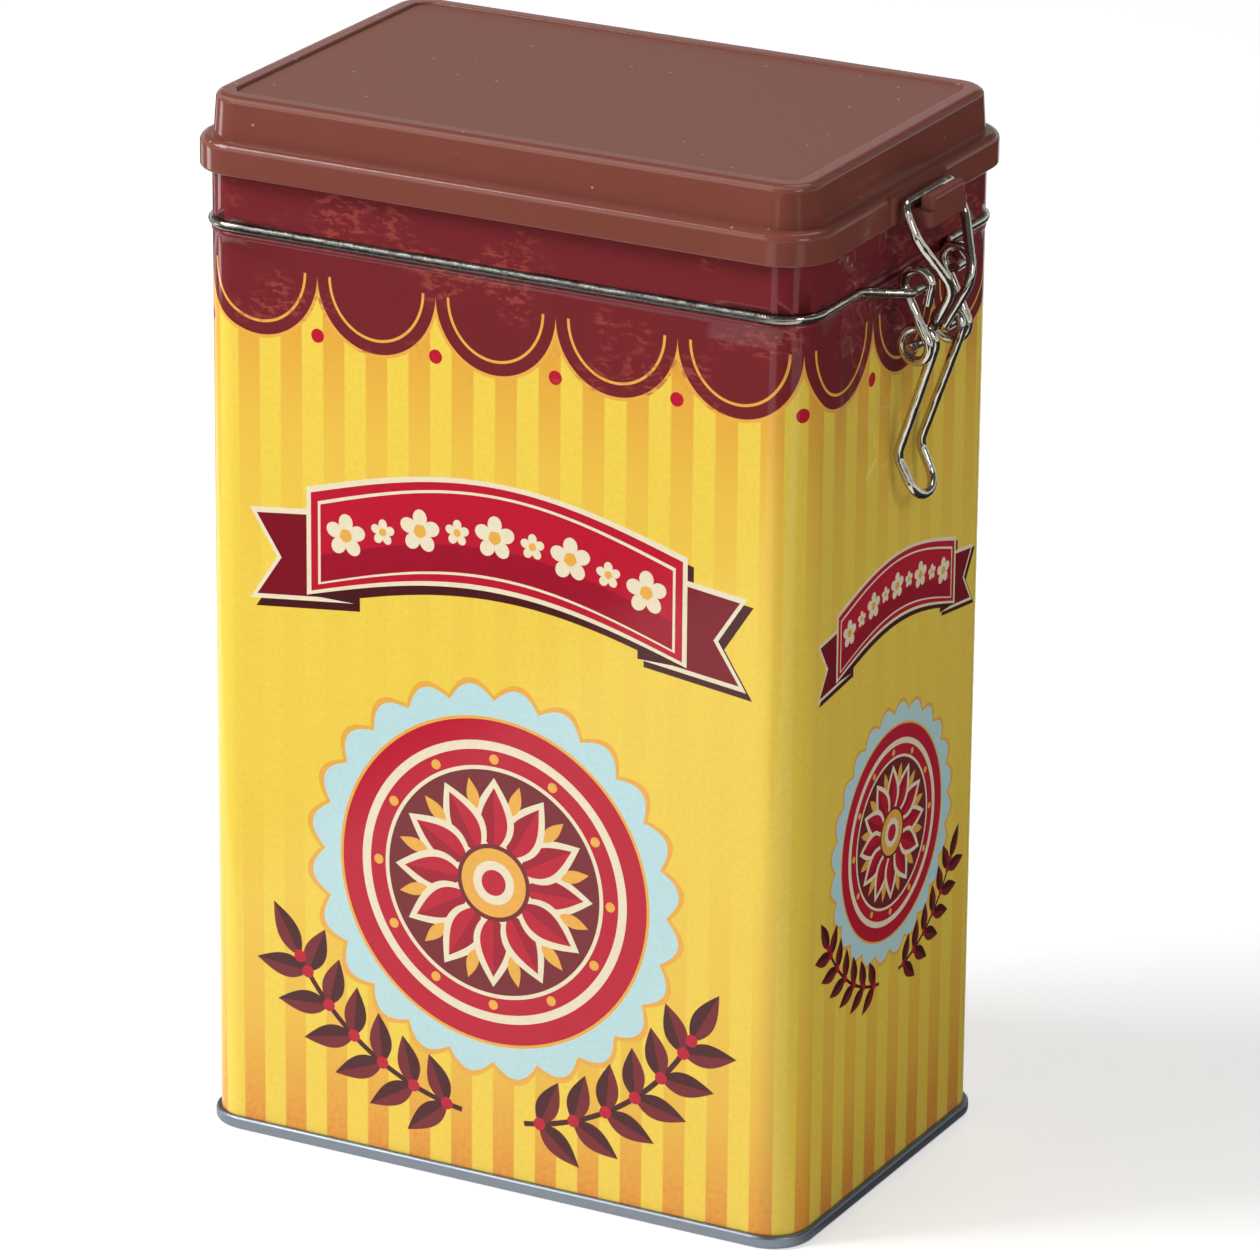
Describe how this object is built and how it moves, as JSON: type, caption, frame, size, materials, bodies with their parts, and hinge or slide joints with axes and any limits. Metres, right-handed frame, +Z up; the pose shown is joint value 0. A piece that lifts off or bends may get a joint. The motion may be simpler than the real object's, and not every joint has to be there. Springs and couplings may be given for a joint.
{
  "type": "clip-top storage tin",
  "caption": "Tall rectangular storage tin of printed sheet metal with rounded corners, a hinged moulded lid with gasket, and an over-centre wire clasp on one narrow side",
  "frame": {"origin": "middle of the standing ring, on the surface that the tin stands on", "axes": "+Z up, the printed front faces -Y, the clasp is on +X and the lid's hinge on -X"},
  "size_m": [0.1393, 0.0792, 0.1931],
  "materials": {
    "printed_tinplate": "gloss print",
    "bare_tinplate": "bright",
    "lid_plastic": "gloss sides, fine matt top panel",
    "gasket_rubber": "soft matt",
    "plated_wire": "bright"
  },
  "bodies": {
    "tin": {"tin_body": "printed_tinplate", "bottom_end": "bare_tinplate", "neck_wire": "plated_wire", "hinge_wire": "plated_wire"},
    "lid": {"lid": "lid_plastic", "lid_gasket": "gasket_rubber"},
    "lever": {"closure_lever": "plated_wire"},
    "bail": {"locking_bail": "plated_wire"}
  },
  "joints": [
    {"name": "lid_hinge", "type": "hinge", "parent": "tin", "child": "lid", "pos_m": [-0.0665, 0, 0.1763], "axis": [0, -1, 0], "range_deg": [0, 105]},
    {"name": "lever_pivot", "type": "hinge", "parent": "tin", "child": "lever", "pos_m": [0.0653, 0, 0.1689], "axis": [0, -1, 0], "range_deg": [0, 90]},
    {"name": "bail_pivot", "type": "hinge", "parent": "lever", "child": "bail", "pos_m": [0.0648, 0, 0.15875], "axis": [0, -1, 0], "range_deg": [-57.6, 0]}
  ],
  "couplings": [
    {"joint": "bail_pivot", "follows": "lever_pivot", "ratio": -0.64}
  ]
}
